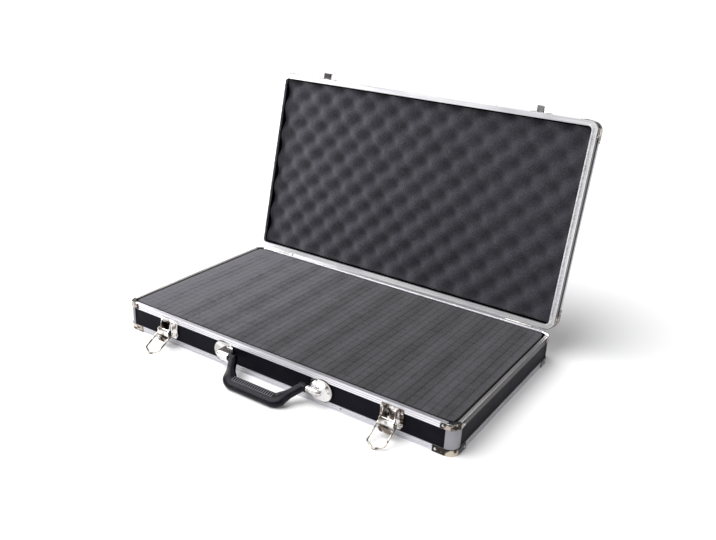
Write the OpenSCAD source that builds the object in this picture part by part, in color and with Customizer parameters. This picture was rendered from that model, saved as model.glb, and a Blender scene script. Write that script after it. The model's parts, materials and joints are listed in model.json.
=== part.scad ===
// Shallow aluminium-framed tool case with a hinged lid, two draw latches and a folding handle.
// The underside lies in the plane z = 0 and the front faces -Y. The lid is drawn standing open.

/* [Case] */
// Outside width of the frame, left to right
case_w = 600; // [520:1:700]
// Outside depth of the frame, front to back
case_d = 331; // [280:1:400]
// Height of the base from the floor to the parting plane
base_h = 47.5; // [44:0.5:60]
// Height of the lid above the parting plane
lid_h = 23; // [22:0.5:40]
// Radius of the four upright corners
corner_r = 15; // [12:0.5:16]
// Thickness of the covered board panels
panel_t = 3.6; // [3:0.1:4]
// Angle of the open lid from closed, at the hinge stop
lid_open_angle = 102; // [92:1:112]

/* [Frame sections] */
// Wall thickness of the aluminium sections
frame_t = 1.2; // [1:0.1:1.5]
// Height of the base rim's outer flange
rim_h = 9.2; // [8:0.1:11]
// Height of the lid rim's outer flange
lid_rim_h = 8; // [7:0.1:9]
// Height of the base edging's upright leg
edge_h = 9.6; // [8:0.1:11]
// Height of the lid edging's upright leg
lid_edge_h = 6.8; // [6:0.1:8]
// Width of the edging's flat leg under the base and over the lid
edge_leg = 12; // [10:0.5:14]
// Width of the tongue inside the lid rim
tongue_w = 2; // [1.5:0.1:2.5]
// Drop of that tongue into the base
tongue_drop = 4; // [3:0.5:5]
// Depth of the fine grooves along the flanges
groove_depth = 0.4; // [0.3:0.05:0.6]
// Air between the two rims when the lid is closed
rim_gap = 0.2; // [0.1:0.05:0.5]

/* [Corner fittings] */
// Sheet thickness of the plated corner fittings
fitting_t = 0.8; // [0.6:0.1:1.2]
// Reach of the rim brackets from the corner
bracket_arm = 24; // [22:1:30]
// Reach of the foot corners and lid corners from the corner
box_arm = 32; // [28:1:40]
// Height of the lid corners' side walls
box_wall = 12; // [10:0.5:15]
// Size of the lid corners' top plate
box_top = 21; // [18:1:26]

/* [Rivets] */
// Radius of a frame rivet's head
rivet_head_r = 2; // [1.6:0.1:2.4]
// Height of a frame rivet's head
rivet_head_h = 0.9; // [0.6:0.1:1.2]
// Radius of a rivet's shank
rivet_shank_r = 1.2; // [1:0.1:1.4]
// Distance of the edging rivets from the middle of the front and back
edge_rivet_x = 124; // [110:1:130]

/* [Hinges] */
// Distance from each hinge to the corner fittings' ends
hinge_corner_gap = 2; // [1:1:40]
// Width of a hinge
hinge_w = 46; // [36:1:56]
// Height of a hinge leaf
hinge_leaf_h = 17; // [14:0.5:18]
// Sheet thickness of a hinge leaf
hinge_leaf_t = 1; // [0.8:0.1:1.2]
// Radius of the hinge knuckle
knuckle_r = 2.2; // [2:0.1:2.6]
// Radius of the hinge pin
hinge_pin_r = 1; // [0.8:0.05:1.2]

/* [Latches] */
// Distance of each latch's middle from the end of the case
latch_inset = 94.5; // [85:0.5:130]
// Width of the latch plate over its two wings
latch_w = 36; // [35:0.5:40]
// Distance of the latch plate's top below the parting plane
latch_drop = 4; // [3:0.5:6]
// Height of the latch plate
latch_plate_h = 31.5; // [30:0.5:33]
// Inside distance between the latch cheeks
cheek_gap = 18.4; // [17:0.1:19]
// Sheet thickness of the latch plate, lever and keeper
latch_t = 1; // [0.8:0.1:1.2]
// Distance of the lever's pin from the front of the case
lever_pin_out = 11.4; // [10.5:0.1:12.5]
// Height of the lever's pin above the latch plate's lower edge
lever_pin_up = 16.5; // [15.5:0.5:17.5]
// Radius of the lever's pin
lever_pin_r = 1.5; // [1.2:0.1:1.6]
// Distance of the closed bail's pivot behind the lever's pin
bail_pin_back = 0.8; // [0.5:0.1:1]
// Distance of the closed bail's pivot below the lever's pin
bail_pin_drop = 6.8; // [6.4:0.1:7.2]
// Radius of the bail wire
wire_r = 1.3; // [1.1:0.05:1.4]
// Gap between the lever's side and the bail's arm
bail_side_gap = 0.7; // [0.5:0.1:1]
// Rise of the bail's gabled end
gable_rise = 8; // [6:0.5:9]
// Radius of the bail's bends, to the middle of the wire
bail_bend_r = 4; // [3:0.5:5]
// Distance of the keeper's wire seat from the front of the case
seat_out = 8; // [7:0.1:8.5]
// Height of the keeper's wire seat above the parting plane
seat_up = 13.2; // [12.5:0.1:14]
// Half width of the keeper's plate
keeper_half_w = 17; // [16:0.5:18]
// Half width of the keeper's hook
hook_half_w = 8; // [7:0.5:9]

/* [Handle] */
// Distance of each handle mount's inner end from the case's middle
mount_x = 73; // [70:0.5:90]
// Length of a handle mount's plate
mount_len = 37; // [34:0.5:42]
// Height of a handle mount's plate
mount_h = 34.5; // [30:0.5:36]
// Thickness of a handle mount's plate
mount_t = 1.2; // [1:0.1:1.6]
// Distance of the handle's pivot below the parting plane
pivot_drop = 23; // [21.5:0.1:23.3]
// Distance of the handle's pivot from the front of the case
pivot_out = 9.5; // [9:0.1:11]
// Radius of the mount's barrel
barrel_r = 5.2; // [4.8:0.1:6]
// Radius of the handle pins
handle_pin_r = 2.5; // [2:0.1:3]
// Distance from the pivot to the middle of the grip
handle_drop = 36; // [32:0.5:37]
// Half width of the grip, across its breadth
grip_half_b = 11; // [9:0.5:12]
// Half thickness of the grip
grip_half_t = 7; // [6:0.5:7]
// Half length of the grip between the middles of its bends
grip_half_len = 43; // [38:1:50]
// Half width of the handle's arms
arm_half_b = 6.4; // [5.5:0.1:7]

/* [Foam] */
// Gap between the rim's inner edge and the base foam
foam_gap = 3.6; // [3.2:0.1:6]
// Thickness of the plain pad below the scored foam
pad_t = 8; // [5:0.5:12]
// Width of one hump and hollow of the lid foam, left to right
crate_pitch_x = 47.2; // [40:0.1:55]
// Length of one hump and hollow of the lid foam, front to back
crate_pitch_y = 50; // [42:0.1:58]
// Height from hollow to hump
crate_relief = 9.5; // [6:0.5:10]
// Thickness of the lid foam below its hollows
crate_base = 6.5; // [4:0.5:7]

/* [Hidden] */

$fn = 48;
front_y = -case_d / 2;
channel_w = panel_t + 2 * frame_t;
running = 0.05;
seat_gap = 0.3;
lid_z = base_h + rim_gap;
hinge_out = knuckle_r + 0.2;
hinge_y = case_d / 2 + hinge_out;
hinge_z = base_h + rim_gap / 2;
hinge_x = case_w / 2 - box_arm - hinge_corner_gap - hinge_w / 2;
latch_x = case_w / 2 - latch_inset;
latch_top = base_h - latch_drop;
latch_low = latch_top - latch_plate_h;
tongue_in = channel_w + seat_gap;
lid_rim_w = tongue_in + tongue_w;
lip_h = 6;
post_leg = 0.6;

function half_depth(side) = side % 2 == 0 ? case_d / 2 : case_w / 2;
function half_run(side) = (side % 2 == 0 ? case_w : case_d) / 2 - corner_r;

// Sides are numbered 0 front, 1 right, 2 back, 3 left. In a side's frame +Y points inwards.
module along_side(side) rotate([0, 0, 90 * side]) translate([0, -half_depth(side), 0]) children();

// Sweeps a section, drawn as distance inwards and height, along the straight part of a side.
module run(side) along_side(side)
    rotate([90, 0, 90]) linear_extrude(2 * half_run(side), center = true) children();

// Turns the same section round one upright corner.
module turn_corner(index) {
    sx = index == 0 || index == 3 ? -1 : 1;
    sy = index < 2 ? -1 : 1;
    translate([sx * (case_w / 2 - corner_r), sy * (case_d / 2 - corner_r), 0])
        rotate([0, 0, [180, 270, 0, 90][index]])
            rotate_extrude(angle = 90) translate([corner_r, 0]) mirror([1, 0]) children();
}

// Places a piece made for the front left corner at each of the four corners.
module each_corner() for (mx = [0, 1], my = [0, 1])
    mirror([mx, 0, 0]) mirror([0, my, 0]) translate([-case_w / 2, -case_d / 2, 0]) children();

// Puts the closed lid's coordinates, with z = 0 on its rim plane, into the open position.
module lid_place() translate([0, hinge_y, hinge_z]) rotate([-lid_open_angle, 0, 0])
    translate([0, -hinge_y, lid_z - hinge_z]) children();

// Draws a profile of distance outwards and height, extruded across the width w, at the front.
module across(x, w) translate([x, front_y, 0]) rotate([90, 0, -90])
    linear_extrude(w, center = true) children();

// Stands children on the front face at x and z, their own +Z pointing outwards.
module on_front(x, z) translate([x, front_y, z]) rotate([90, 0, 0]) children();
module on_back(x, z) translate([x, case_d / 2, z]) rotate([-90, 0, 0]) children();

module rivet(grip, head_r = rivet_head_r) {
    cylinder(r1 = head_r, r2 = head_r * 0.65, h = rivet_head_h);
    translate([0, 0, -grip]) cylinder(r = rivet_shank_r, h = grip);
}
hole_deep = frame_t + panel_t + 0.1;
module rivet_hole() translate([0, 0, -hole_deep]) cylinder(r = rivet_shank_r, h = hole_deep + 3);

// Rim section of the base: an inverted channel over the panel, with two fine grooves outside.
module groove(z) polygon([[-1, z - 0.5], [0, z - 0.5], [groove_depth, z], [0, z + 0.5], [-1, z + 0.5]]);
module base_rim_section() difference() {
    translate([0, base_h - rim_h]) square([channel_w, rim_h]);
    translate([frame_t, base_h - rim_h - 1]) square([panel_t, rim_h + 1 - frame_t]);
    translate([channel_w - frame_t - 1, base_h - rim_h - 1]) square([frame_t + 2, rim_h + 1 - lip_h]);
    groove(base_h - rim_h * 0.4);
    groove(base_h - rim_h * 0.72);
}
module lid_rim_section() {
    difference() {
        square([channel_w, lid_rim_h]);
        translate([frame_t, frame_t]) square([panel_t, lid_rim_h]);
        translate([channel_w - frame_t - 1, lip_h]) square([frame_t + 2, lid_rim_h]);
        groove(lid_rim_h * 0.35);
        groove(lid_rim_h * 0.7);
    }
    translate([channel_w - frame_t, 0]) square([frame_t + seat_gap + tongue_w, frame_t]);
    translate([tongue_in, -tongue_drop]) square([tongue_w, tongue_drop + frame_t]);
}
module edging_section(height) difference() {
    union() {
        square([frame_t, height]);
        square([edge_leg, frame_t]);
    }
    groove(height * 0.3);
    groove(height * 0.72);
}
module lid_edging_section() translate([0, lid_h]) mirror([0, 1]) edging_section(lid_edge_h);

// The rivets of one side, as [distance along it, height], and the sides that carry edging rivets.
foot_rivet_z = edge_h / 2;
bracket_rivet_z = base_h - rim_h / 2;
lid_bracket_rivet_z = lid_rim_h / 2;
lid_box_rivet_z = lid_h - lid_edge_h / 2;
edging_rivet_z = edge_h * 0.62;
lid_edging_rivet_z = lid_h - lid_edge_h * 0.55;
rivet_inset = 4.5;
function foot_rivet_x(side) = half_run(side) + corner_r - box_arm + rivet_inset;
function bracket_rivet_x(side) = half_run(side) + corner_r - bracket_arm + rivet_inset;
module side_spots(side, x, z) for (s = [-1, 1]) along_side(side)
    translate([s * x, 0, z]) rotate([90, 0, 0]) children();
module edging_spots(side, z) if (side % 2 == 0) side_spots(side, edge_rivet_x, z) children();

module base_rim(side) color("silver") difference() {
    run(side) base_rim_section();
    side_spots(side, bracket_rivet_x(side), bracket_rivet_z) rivet_hole();
    if (side == 0) front_hardware_spots() rivet_hole();
    if (side == 2) hinge_spots(base_hinge_rivet_z) rivet_hole();
}
module base_edging(side) color("gainsboro") difference() {
    run(side) edging_section(edge_h);
    side_spots(side, foot_rivet_x(side), foot_rivet_z) rivet_hole();
    edging_spots(side, edging_rivet_z) rivet_hole();
    if (side == 0) front_hardware_spots() rivet_hole();
}
module base_rim_corners() color("silver") for (i = [0:3]) turn_corner(i) base_rim_section();

// A hollow upright at each corner, with short legs that hold the panel ends.
module post(z_low, z_high, leg_low, leg_high) each_corner() {
    translate([corner_r, corner_r, z_low]) rotate([0, 0, 180])
        rotate_extrude(angle = 90) difference() {
            translate([corner_r - channel_w, 0]) square([channel_w, z_high - z_low]);
            translate([corner_r - channel_w + frame_t, -1]) square([panel_t, z_high - z_low + 2]);
        }
    for (swap = [0, 1]) mirror([swap, -swap, 0]) {
        translate([corner_r - frame_t, frame_t / 2, z_low])
            cube([frame_t, channel_w - frame_t, z_high - z_low]);
        for (y = [0, channel_w - frame_t]) translate([corner_r - frame_t, y, leg_low])
            cube([frame_t + post_leg, frame_t, leg_high - leg_low]);
    }
}
module base_corner_posts() color("darkgray")
    post(frame_t, base_h - rim_h, edge_h, base_h - rim_h);

module panel(side, z_low, z_high) along_side(side)
    translate([-half_run(side), frame_t, z_low]) cube([2 * half_run(side), panel_t, z_high - z_low]);
module panel_holes(side, z) side_spots(side, foot_rivet_x(side), z) rivet_hole();
module base_panel(side) color([0.09, 0.09, 0.1]) difference() {
    panel(side, frame_t, base_h - frame_t);
    panel_holes(side, foot_rivet_z);
    side_spots(side, bracket_rivet_x(side), bracket_rivet_z) rivet_hole();
    edging_spots(side, edging_rivet_z) rivet_hole();
    if (side == 0) front_hardware_spots() rivet_hole();
    if (side == 2) hinge_spots(base_hinge_rivet_z) rivet_hole();
}
// A board rebated under the edging's flat legs, so that its outer face is flush with them.
// Its corners are cut back round the corner fittings.
module cover_board(rebate_low) {
    inner = frame_t + panel_t;
    face_in = max(edge_leg, corner_r);
    for (box = [[edge_leg, face_in, rebate_low ? 0 : frame_t, panel_t - frame_t],
                [face_in, edge_leg, rebate_low ? 0 : frame_t, panel_t - frame_t],
                [corner_r, inner, rebate_low ? frame_t : 0, panel_t - frame_t],
                [inner, corner_r, rebate_low ? frame_t : 0, panel_t - frame_t]])
        translate([-case_w / 2 + box[0], -case_d / 2 + box[1], box[2]])
            cube([case_w - 2 * box[0], case_d - 2 * box[1], box[3]]);
}
module base_bottom_panel() color([0.1, 0.1, 0.11]) cover_board(true);

module bracket_section(z_low, z_high) translate([-fitting_t, z_low])
    square([fitting_t, z_high - z_low]);
// A strip that wraps one corner, with an arm along each side.
module wrap(z_low, z_high, arm) for (i = [0:3]) {
    turn_corner(i) bracket_section(z_low, z_high);
    for (turned = [0, 1]) {
        side = turned == 0 ? (i < 2 ? 0 : 2) : (i == 0 || i == 3 ? 3 : 1);
        end = [[-1, 1], [1, -1], [-1, 1], [1, -1]][i][turned];
        along_side(side) translate([end * (half_run(side) + (corner_r - arm) / 2), -fitting_t / 2,
            (z_low + z_high) / 2]) cube([arm - corner_r, fitting_t, z_high - z_low], center = true);
    }
}
module base_rim_brackets() color("lightgray") difference() {
    wrap(base_h - rim_h + 0.6, base_h - 0.8, bracket_arm);
    for (side = [0:3]) side_spots(side, bracket_rivet_x(side), bracket_rivet_z) rivet_hole();
}
module base_foot_corners() color("lightgray") difference() {
    union() {
        wrap(0, edge_h, box_arm);
        for (i = [0:3]) turn_corner(i) translate([-fitting_t, 0]) square([corner_r + fitting_t, frame_t]);
    }
    for (side = [0:3]) side_spots(side, foot_rivet_x(side), foot_rivet_z) rivet_hole();
}
module base_frame_rivets() color("white") {
    shank = fitting_t + frame_t + panel_t;
    for (side = [0:3]) {
        side_spots(side, bracket_rivet_x(side), bracket_rivet_z) translate([0, 0, fitting_t]) rivet(shank);
        side_spots(side, foot_rivet_x(side), foot_rivet_z) translate([0, 0, fitting_t]) rivet(shank);
        edging_spots(side, edging_rivet_z) rivet(frame_t + panel_t);
    }
}

foam_in = channel_w + foam_gap;
scored_low = panel_t + seat_gap + pad_t;
module foam_block(z_low, z_high) translate([0, 0, z_low]) linear_extrude(z_high - z_low) {
    side_r = 6;
    for (grow = [[side_r, 0], [0, side_r]]) square([case_w - 2 * foam_in - 2 * grow[0],
        case_d - 2 * foam_in - 2 * grow[1]], center = true);
    for (sx = [-1, 1], sy = [-1, 1]) translate([sx * (case_w / 2 - foam_in - side_r),
        sy * (case_d / 2 - foam_in - side_r)]) circle(side_r);
}
module base_foam_pad() color([0.2, 0.2, 0.22]) foam_block(panel_t + seat_gap, scored_low);
module base_foam() color([0.32, 0.31, 0.35]) foam_block(scored_low + seat_gap, base_h - 0.4);

module lid_rim(side) color("silver") lid_place() difference() {
    run(side) lid_rim_section();
    side_spots(side, bracket_rivet_x(side), lid_bracket_rivet_z) rivet_hole();
}
module lid_edging(side) color("gainsboro") lid_place() difference() {
    run(side) lid_edging_section();
    side_spots(side, foot_rivet_x(side), lid_box_rivet_z) rivet_hole();
    edging_spots(side, lid_edging_rivet_z) rivet_hole();
}
module lid_rim_corners() color("silver") lid_place() for (i = [0:3]) turn_corner(i) lid_rim_section();
module lid_corner_posts() color("darkgray") lid_place()
    post(lid_rim_h, lid_h - frame_t, lid_rim_h, lid_h - lid_edge_h);
module lid_panel(side) color([0.09, 0.09, 0.1]) lid_place() difference() {
    panel(side, frame_t, lid_h - frame_t);
    panel_holes(side, lid_box_rivet_z);
    side_spots(side, bracket_rivet_x(side), lid_bracket_rivet_z) rivet_hole();
    edging_spots(side, lid_edging_rivet_z) rivet_hole();
    if (side == 0) keeper_spots() rivet_hole();
    if (side == 2) hinge_spots(lid_hinge_rivet_z) rivet_hole();
}
module lid_top_panel() color([0.1, 0.1, 0.11]) lid_place()
    translate([0, 0, lid_h]) mirror([0, 0, 1]) cover_board(true);
module lid_rim_brackets() color("lightgray") lid_place() difference() {
    wrap(0.8, lid_rim_h - 0.6, bracket_arm);
    for (side = [0:3]) side_spots(side, bracket_rivet_x(side), lid_bracket_rivet_z) rivet_hole();
}
top_rivet_in = corner_r + 2;
module box_corner_spots() each_corner() translate([top_rivet_in, top_rivet_in, lid_h]) children();
module lid_box_corners() color("lightgray") lid_place() difference() {
    union() {
        wrap(lid_h - box_wall, lid_h + fitting_t, box_arm);
        for (i = [0:3]) turn_corner(i) translate([-fitting_t, lid_h])
            square([corner_r + fitting_t, fitting_t]);
        each_corner() translate([0, 0, lid_h]) linear_extrude(fitting_t) {
            translate([corner_r, -fitting_t]) square([box_arm - corner_r, frame_t * 3]);
            translate([-fitting_t, corner_r]) square([frame_t * 3, box_arm - corner_r]);
            polygon([[corner_r, 0], [box_top, 0], [corner_r + 6, 12], [12, corner_r + 6],
                [0, box_top], [0, corner_r], [corner_r - 1, corner_r - 1]]);
            translate([top_rivet_in, top_rivet_in]) circle(6);
        }
    }
    for (side = [0:3]) side_spots(side, foot_rivet_x(side), lid_box_rivet_z) rivet_hole();
    box_corner_spots() rivet_hole();
}
module lid_frame_rivets() color("white") lid_place() {
    shank = fitting_t + frame_t + panel_t;
    for (side = [0:3]) {
        side_spots(side, bracket_rivet_x(side), lid_bracket_rivet_z)
            translate([0, 0, fitting_t]) rivet(shank);
        side_spots(side, foot_rivet_x(side), lid_box_rivet_z) translate([0, 0, fitting_t]) rivet(shank);
        edging_spots(side, lid_edging_rivet_z) rivet(frame_t + panel_t);
    }
    box_corner_spots() translate([0, 0, fitting_t]) rivet(fitting_t);
}

// Egg-crate foam: humps and hollows in a chessboard, four steps to each wave.
crate_steps = 4;
crate_in = lid_rim_w + 2;
crate_w = case_w - 2 * crate_in;
crate_d = case_d - 2 * crate_in;
crate_nx = round(crate_w / crate_pitch_x * crate_steps);
crate_ny = round(crate_d / crate_pitch_y * crate_steps);
crate_top = lid_h - panel_t - seat_gap;
function crate_z(i, j) = crate_top - crate_base - crate_relief / 2
    * (1 + cos(360 * i / crate_steps) * cos(360 * j / crate_steps));
module lid_foam() color([0.2, 0.2, 0.24]) lid_place() {
    row = crate_nx + 1;
    count = row * (crate_ny + 1);
    grid = [for (j = [0:crate_ny], i = [0:crate_nx])
        [-crate_w / 2 + crate_w * i / crate_nx, -crate_d / 2 + crate_d * j / crate_ny, crate_z(i, j)]];
    flat = [for (p = grid) [p[0], p[1], crate_top]];
    ring = concat([for (i = [0:crate_nx]) i], [for (j = [1:crate_ny]) j * row + crate_nx],
        [for (i = [1:crate_nx]) crate_ny * row + crate_nx - i], [for (j = [1:crate_ny - 1]) (crate_ny - j) * row]);
    n = len(ring);
    polyhedron(points = concat(grid, flat, [[0, 0, crate_top]]), faces = concat(
        [for (j = [0:crate_ny - 1], i = [0:crate_nx - 1]) let (a = j * row + i, fold = (i + j) % 2)
            each (fold == 0 ? [[a, a + 1, a + row + 1], [a, a + row + 1, a + row]]
                : [[a, a + 1, a + row], [a + 1, a + row + 1, a + row]])],
        [for (k = [0:n - 1]) let (a = ring[k], b = ring[(k + 1) % n])
            each [[b, a, a + count], [b, a + count, b + count]]],
        [for (k = [0:n - 1]) [ring[(k + 1) % n] + count, ring[k] + count, 2 * count]]));
}

// Keepers on the lid's front: a gabled plate with a gabled hook that opens upwards.
lever_gap = 0.4;
lever_in = cheek_gap / 2 + latch_t + lever_gap;
lever_out = lever_in + latch_t;
bail_half_w = lever_out + bail_side_gap + wire_r;
gable_angle = atan2(gable_rise, bail_half_w);
hook_peak = seat_up - wire_r - seat_gap;
hook_t = 1.2;
hook_lip_h = 3.4;
keeper_low = 1.5;
keeper_shoulder = 13;
keeper_peak = 20;
keeper_rivet_in = 3.6;
keeper_rivet_up = 11.2;
module keeper_spots() for (x = [-latch_x, latch_x], s = [-1, 1])
    on_front(x + s * (keeper_half_w - keeper_rivet_in), keeper_rivet_up) children();
// A gabled band, drawn as distance to the side and height, from low below the hook's peak to high above.
module gable_band(low, high) {
    fall = hook_half_w * tan(gable_angle);
    polygon([[-hook_half_w, hook_peak - fall - low], [0, hook_peak - low], [hook_half_w, hook_peak - fall - low],
        [hook_half_w, hook_peak - fall + high], [0, hook_peak + high], [-hook_half_w, hook_peak - fall + high]]);
}
module keeper(x) color("lightgray") lid_place() difference() {
    lip = seat_out + wire_r + 2 * seat_gap;
    union() {
        on_front(x, 0) linear_extrude(latch_t) polygon([[-keeper_half_w, keeper_low],
            [keeper_half_w, keeper_low], [keeper_half_w, keeper_shoulder], [0, keeper_peak],
            [-keeper_half_w, keeper_shoulder]]);
        on_front(x, 0) linear_extrude(lip + hook_t) gable_band(hook_t, 0);
        on_front(x, 0) translate([0, 0, lip]) linear_extrude(hook_t) gable_band(hook_t, hook_lip_h);
    }
    keeper_spots() rivet_hole();
}
module keeper_rivets() color("white") lid_place() keeper_spots() translate([0, 0, latch_t])
    rivet(latch_t + frame_t + panel_t, 1.8);

// Hinges: knuckles alternate between the leaves, and a heel on the lid leaf stops the lid.
leaf_edge = 4;
base_hinge_rivet_z = base_h - hinge_leaf_h + leaf_edge;
lid_hinge_rivet_z = hinge_leaf_h - leaf_edge;
knuckle_share = 5;
knuckle_play = 0.1;
hinge_rivet_x = 15;
module hinge_spots(z) for (x = [-hinge_x, hinge_x], s = [-1, 1])
    on_back(x + s * hinge_rivet_x, z) children();
module knuckles(x, picks) {
    part = hinge_w / knuckle_share;
    for (k = picks) translate([x - hinge_w / 2 + k * part + knuckle_play, hinge_y, hinge_z])
        rotate([0, 90, 0]) cylinder(r = knuckle_r, h = part - 2 * knuckle_play);
}
module knuckle_clear(x, picks) {
    part = hinge_w / knuckle_share;
    for (k = picks) translate([x - hinge_w / 2 + k * part - knuckle_play, hinge_y, hinge_z])
        rotate([0, 90, 0]) cylinder(r = knuckle_r + 0.25, h = part + 2 * knuckle_play);
}
module hinge_bore(x) translate([x - hinge_w, hinge_y, hinge_z]) rotate([0, 90, 0])
    cylinder(r = hinge_pin_r + running, h = 2 * hinge_w);
module hinge_base_leaves() color("gray") difference() {
    for (x = [-hinge_x, hinge_x]) difference() {
        union() {
            translate([x - hinge_w / 2, case_d / 2, base_h - hinge_leaf_h])
                cube([hinge_w, hinge_leaf_t, hinge_leaf_h - 0.6]);
            knuckles(x, [0, 2, 4]);
        }
        knuckle_clear(x, [1, 3]);
        hinge_bore(x);
    }
    hinge_spots(base_hinge_rivet_z) rivet_hole();
}
heel_len = 5;
module hinge_lid_leaves() color("gray") {
    difference() {
        lid_place() translate([0, 0, -lid_z]) for (x = [-hinge_x, hinge_x]) difference() {
            union() {
                translate([x - hinge_w / 2, case_d / 2, lid_z + 0.6])
                    cube([hinge_w, hinge_leaf_t, hinge_leaf_h - 0.6]);
                knuckles(x, [1, 3]);
            }
            knuckle_clear(x, [0, 2, 4]);
            hinge_bore(x);
        }
        lid_place() hinge_spots(lid_hinge_rivet_z) rivet_hole();
    }
    part = hinge_w / knuckle_share;
    for (x = [-hinge_x, hinge_x], k = [1, 3]) difference() {
        translate([x - hinge_w / 2 + (k + 0.5) * part, case_d / 2 + hinge_leaf_t + seat_gap + 0.5,
            hinge_z - heel_len / 2 - 1]) cube([part * 0.6, 1, heel_len + 1], center = true);
        hinge_bore(x);
    }
}
module hinge_pins() color("gray") for (x = [-hinge_x, hinge_x])
    translate([x - hinge_w / 2 - 0.4, hinge_y, hinge_z]) rotate([0, 90, 0])
        cylinder(r = hinge_pin_r, h = hinge_w + 0.8);
module hinge_base_rivets() color("white") hinge_spots(base_hinge_rivet_z)
    translate([0, 0, hinge_leaf_t]) rivet(hinge_leaf_t + frame_t + panel_t, 1.8);
module hinge_lid_rivets() color("white") lid_place() hinge_spots(lid_hinge_rivet_z)
    translate([0, 0, hinge_leaf_t]) rivet(hinge_leaf_t + frame_t + panel_t, 1.8);

// Latches. The plate has two wings and two deep cheeks; the lever straddles the cheeks.
lever_pin_z = latch_low + lever_pin_up;
bail_pin_out = lever_pin_out - bail_pin_back;
bail_pin_z = lever_pin_z - bail_pin_drop;
wing_rivet_x = latch_w / 2 - 3;
wing_rivet_z = [latch_low + 6.5, base_h - rim_h - rivet_shank_r - 0.1];
cheek_end_r = 2.4;
lever_end_r = 2.7;
bail_end_r = 2.6;
lever_web = lever_pin_out + cheek_end_r + lever_gap;
tab_low = latch_low - 2;
tab_bend_z = tab_low + 6.5;
tab_flare = 1.6;
tab_corner_r = 6;
module latch_spots() for (x = [-latch_x, latch_x], s = [-1, 1], z = wing_rivet_z)
    on_front(x + s * wing_rivet_x, z) children();
module latch_plate(x) color("silver") difference() {
    union() {
        on_front(x, 0) linear_extrude(latch_t) polygon([[-latch_w / 2 + 4, latch_low],
            [latch_w / 2 - 4, latch_low], [latch_w / 2, latch_low + 6], [latch_w / 2, latch_top - 2],
            [latch_w / 2 - 2, latch_top], [-latch_w / 2 + 2, latch_top], [-latch_w / 2, latch_top - 2],
            [-latch_w / 2, latch_low + 6]]);
        for (s = [-1, 1]) across(x + s * (cheek_gap + latch_t) / 2, latch_t) {
            polygon([[0, latch_low + 2], [3, latch_low + 2.6], [lever_pin_out + 1, lever_pin_z - 2],
                [lever_pin_out - 1.2, lever_pin_z + 2], [lever_pin_out - 2.4, latch_top - 5],
                [lever_pin_out - 4.6, latch_top - 1.8], [0, latch_top - 0.6]]);
            translate([lever_pin_out, lever_pin_z]) circle(cheek_end_r);
        }
    }
    lever_axis(x) cylinder(r = lever_pin_r + 0.02, h = latch_w, center = true);
    latch_spots() rivet_hole();
}
module lever_axis(x) translate([x, front_y - lever_pin_out, lever_pin_z]) rotate([0, 90, 0]) children();
module latch_pins() color("silver") for (x = [-latch_x, latch_x]) lever_axis(x) {
    head_h = 0.25;
    cylinder(r = lever_pin_r, h = 2 * (lever_out + running), center = true);
    for (s = [-1, 1]) translate([0, 0, s * (lever_out + running + head_h / 2)])
        cylinder(r = lever_pin_r + 0.7, h = head_h, center = true);
}
module latch_rivets() color("white") latch_spots() translate([0, 0, latch_t])
    rivet(latch_t + frame_t + panel_t);
module lever_cheek() difference() {
    union() {
        translate([lever_pin_out, lever_pin_z]) circle(lever_end_r);
        translate([bail_pin_out, bail_pin_z]) circle(bail_end_r);
        polygon([[lever_pin_out - lever_end_r, lever_pin_z], [bail_pin_out - bail_end_r, bail_pin_z],
            [bail_pin_out, bail_pin_z - bail_end_r], [lever_web + 0.3, tab_bend_z],
            [lever_web + latch_t, tab_bend_z + 1], [lever_web + latch_t, lever_pin_z],
            [lever_pin_out + 1.4, lever_pin_z + 2.3]]);
    }
    translate([lever_pin_out, lever_pin_z]) circle(lever_pin_r + running);
    translate([bail_pin_out, bail_pin_z]) circle(wire_r + running);
}
// The lever's face and its flared finger tab, with the tab's corners rounded.
module latch_lever(x) color("lightgray") {
    for (s = [-1, 1]) across(x + s * (lever_in + latch_t / 2), latch_t) lever_cheek();
    intersection() {
        across(x, 2 * lever_out) polygon([[lever_web, lever_pin_z], [lever_web + latch_t, lever_pin_z],
            [lever_web + latch_t, tab_bend_z], [lever_web + latch_t + tab_flare, tab_low],
            [lever_web + tab_flare, tab_low - 0.25], [lever_web, tab_bend_z - 0.25]]);
        on_front(x, 0) linear_extrude(2 * lever_web) {
            low = tab_low - 0.25 + tab_corner_r;
            translate([-lever_out, low]) square([2 * lever_out, lever_pin_z - low]);
            translate([tab_corner_r - lever_out, low - tab_corner_r])
                square([2 * (lever_out - tab_corner_r), 2 * tab_corner_r]);
            for (s = [-1, 1]) translate([s * (lever_out - tab_corner_r), low]) circle(tab_corner_r);
        }
    }
}

// The bail is as long as its closed reach, and at rest its peak lies just above the floor.
bail_dz = lid_z + seat_up - bail_pin_z;
bail_len = sqrt(pow(bail_dz, 2) + pow(seat_out - bail_pin_out, 2));
bail_rest_drop = asin((bail_pin_z - wire_r - 0.1) / bail_len);
bail_corner_r = 1.6;
peak_mid = bail_len - bail_bend_r;
shoulder_mid = peak_mid - (bail_half_w - bail_bend_r) * tan(gable_angle);
section_sides = 16;

// Joins rings of points, each round one place of a path, into a closed bar.
module swept(rings) {
    last = len(rings) - 1;
    n = section_sides;
    polyhedron(points = [for (r = rings) each r], faces = concat(
        [for (i = [0:last - 1], k = [0:n - 1]) let (a = i * n + k, b = i * n + (k + 1) % n)
            each [[a, b, b + n], [a, b + n, a + n]]],
        [[for (k = [0:n - 1]) n - 1 - k], [for (k = [0:n - 1]) last * n + k]]));
}
// A ring of wire at a place of the bail, whose path runs in the given direction there.
function wire_ring(x, y, way) = [for (k = [0:section_sides - 1]) let (a = 360 * k / section_sides)
    [x + wire_r * cos(a) * sin(way), y - wire_r * cos(a) * cos(way), wire_r * sin(a)]];
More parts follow.
